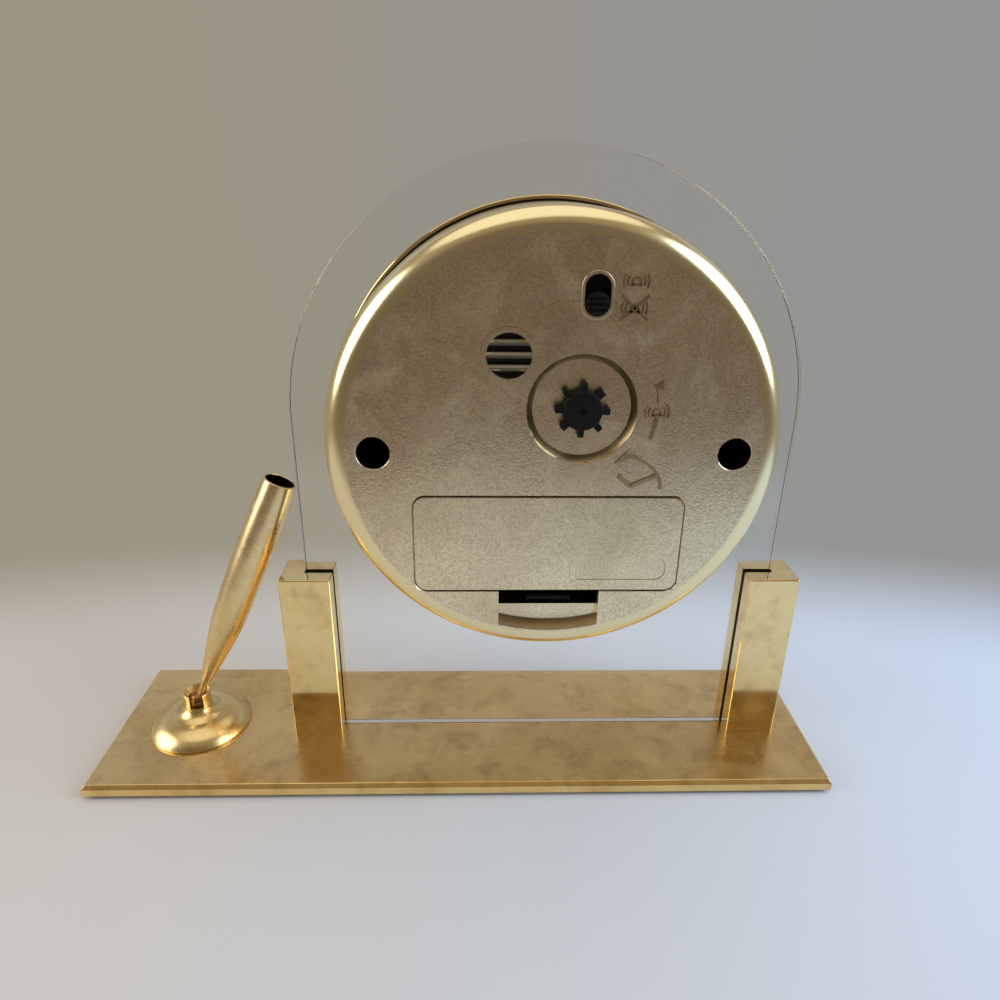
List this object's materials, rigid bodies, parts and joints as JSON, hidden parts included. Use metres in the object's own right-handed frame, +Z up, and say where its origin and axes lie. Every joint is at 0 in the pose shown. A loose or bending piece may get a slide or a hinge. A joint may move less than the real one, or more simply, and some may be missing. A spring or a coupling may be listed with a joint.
{
  "type": "desk clock with calendar and pen holder",
  "caption": "Desk set: round quartz alarm clock in an arched clear plate on posts, with a date ring and a swivelling pen funnel on a flat base.",
  "frame": {"origin": "middle of the base's underside, where the pad rests", "axes": "+X towards the pen holder (right as seen from the dial side), -Y out of the dial, +Z up"},
  "size_m": [0.192, 0.0506, 0.1535],
  "materials": {
    "pad": "matt",
    "satin_brass": "satin, tarnished",
    "polished_brass": "polished",
    "steel": "satin",
    "clear_acrylic": "clear, polished",
    "gold_plastic": "gold metallised",
    "bright_gold": "polished",
    "lens_glass": "clear",
    "dial_face": "satin, printed",
    "champagne_plastic": "champagne metallised, fine grain",
    "cell_wrap": "plain wrap",
    "nickel": "nickel plated",
    "black_plastic": "matt",
    "board": "green lacquer",
    "copper_wire": "enamelled wire",
    "iron": "smooth",
    "white_plastic": "natural",
    "gear_brass": "turned",
    "date_white": "printed",
    "knob_black": "moulded",
    "hand_black": "painted",
    "hand_gold": "gilt",
    "copper_brown": "worn"
  },
  "bodies": {
    "stand": {"base_pad": "pad", "base_plate": "satin_brass", "post_left": "polished_brass", "post_right": "polished_brass", "post_screws": "steel", "clear_plate": "clear_acrylic", "front_case": "gold_plastic", "bezel": "bright_gold", "lens": "lens_glass", "inner_ring": "gold_plastic", "dial": "dial_face", "back_case": "champagne_plastic", "case_screws": "steel", "battery": "cell_wrap", "battery_contact_plus": "nickel", "battery_contact_minus": "nickel", "movement_housing": "black_plastic", "movement_screws": "steel", "train_plate": "black_plastic", "movement_cover": "black_plastic", "circuit_board": "board", "buzzer": "black_plastic", "coil": "copper_wire", "stator": "iron", "pen_socket": "polished_brass", "socket_cap": "polished_brass", "seat_washer": "steel", "socket_nut": "steel"},
    "minute": {"minute_hand": "hand_black", "cannon_pinion": "gear_brass"},
    "hour": {"hour_hand": "hand_black", "hour_wheel": "white_plastic"},
    "second": {"second_hand": "hand_gold", "second_wheel": "white_plastic"},
    "alarm": {"alarm_hand": "hand_gold", "alarm_wheel": "white_plastic"},
    "knob": {"setting_knob": "knob_black", "minute_wheel": "white_plastic"},
    "alarm_drive": {"alarm_pinion": "white_plastic"},
    "date_drive": {"date_wheel": "white_plastic"},
    "calendar_ring": {"date_ring": "date_white"},
    "centre": {"centre_wheel": "gear_brass"},
    "third": {"third_wheel": "white_plastic"},
    "drive": {"drive_wheel": "white_plastic"},
    "motor_rotor": {"rotor": "iron"},
    "switch": {"alarm_switch": "knob_black"},
    "door": {"battery_door": "champagne_plastic"},
    "seat": {"ball_seat": "black_plastic"},
    "funnel": {"pen_funnel": "polished_brass", "funnel_ball": "copper_brown"}
  },
  "joints": [
    {"name": "minute_hand_turn", "type": "hinge", "parent": "stand", "child": "minute", "pos_m": [-0.0203, -0.0056, 0.093], "axis": [0, 1, 0], "continuous": true},
    {"name": "hour_hand_turn", "type": "hinge", "parent": "stand", "child": "hour", "pos_m": [-0.0203, -0.005, 0.093], "axis": [0, 1, 0], "continuous": true},
    {"name": "setting_knob_turn", "type": "hinge", "parent": "stand", "child": "knob", "pos_m": [-0.0256, 0.022, 0.1025], "axis": [0, 1, 0], "continuous": true},
    {"name": "date_wheel_turn", "type": "hinge", "parent": "stand", "child": "date_drive", "pos_m": [-0.0203, -0.0004, 0.0798], "axis": [0, 1, 0], "continuous": true},
    {"name": "date_ring_turn", "type": "hinge", "parent": "stand", "child": "calendar_ring", "pos_m": [-0.0203, -0.0028, 0.093], "axis": [0, 1, 0], "continuous": true},
    {"name": "second_hand_turn", "type": "hinge", "parent": "stand", "child": "second", "pos_m": [-0.0203, -0.0062, 0.093], "axis": [0, 1, 0], "continuous": true},
    {"name": "third_wheel_turn", "type": "hinge", "parent": "stand", "child": "third", "pos_m": [-0.02749, 0.0051, 0.09038], "axis": [0, 1, 0], "continuous": true},
    {"name": "centre_wheel_turn", "type": "hinge", "parent": "stand", "child": "centre", "pos_m": [-0.0203, 0.004, 0.093], "axis": [0, 1, 0], "continuous": true},
    {"name": "drive_wheel_turn", "type": "hinge", "parent": "stand", "child": "drive", "pos_m": [-0.01308, 0.0074, 0.09563], "axis": [0, 1, 0], "continuous": true},
    {"name": "rotor_turn", "type": "hinge", "parent": "stand", "child": "motor_rotor", "pos_m": [-0.00941, 0.0092, 0.10199], "axis": [0, 1, 0], "continuous": true},
    {"name": "alarm_hand_turn", "type": "hinge", "parent": "stand", "child": "alarm", "pos_m": [-0.0203, -0.0044, 0.093], "axis": [0, 1, 0], "continuous": true},
    {"name": "alarm_pinion_turn", "type": "hinge", "parent": "stand", "child": "alarm_drive", "pos_m": [-0.0256, -0.0011, 0.1025], "axis": [0, 1, 0], "continuous": true},
    {"name": "alarm_switch_slide", "type": "slide", "parent": "stand", "child": "switch", "axis": [0, 0, 1], "range_m": [0, 0.003]},
    {"name": "battery_door_swing", "type": "hinge", "parent": "stand", "child": "door", "pos_m": [-0.0203, 0.0241, 0.0831], "axis": [1, 0, 0], "range_deg": [0, 75]},
    {"name": "pen_holder_turn", "type": "hinge", "parent": "stand", "child": "seat", "pos_m": [0.074, 0, 0.0112], "axis": [0, 0, 1], "continuous": true},
    {"name": "pen_holder_lean", "type": "hinge", "parent": "seat", "child": "funnel", "pos_m": [0.074, 0, 0.0112], "axis": [0.2164, -0.9763, 0], "range_deg": [-50, 3]}
  ],
  "couplings": [
    {"joint": "hour_hand_turn", "follows": "minute_hand_turn", "ratio": 0.083333},
    {"joint": "setting_knob_turn", "follows": "minute_hand_turn", "ratio": -0.33333},
    {"joint": "date_wheel_turn", "follows": "minute_hand_turn", "ratio": -0.041667},
    {"joint": "date_ring_turn", "follows": "minute_hand_turn", "ratio": -0.0013441},
    {"joint": "third_wheel_turn", "follows": "second_hand_turn", "ratio": -0.13333},
    {"joint": "centre_wheel_turn", "follows": "second_hand_turn", "ratio": 0.016667},
    {"joint": "drive_wheel_turn", "follows": "second_hand_turn", "ratio": -5},
    {"joint": "rotor_turn", "follows": "second_hand_turn", "ratio": 30},
    {"joint": "alarm_pinion_turn", "follows": "alarm_hand_turn", "ratio": -4}
  ]
}
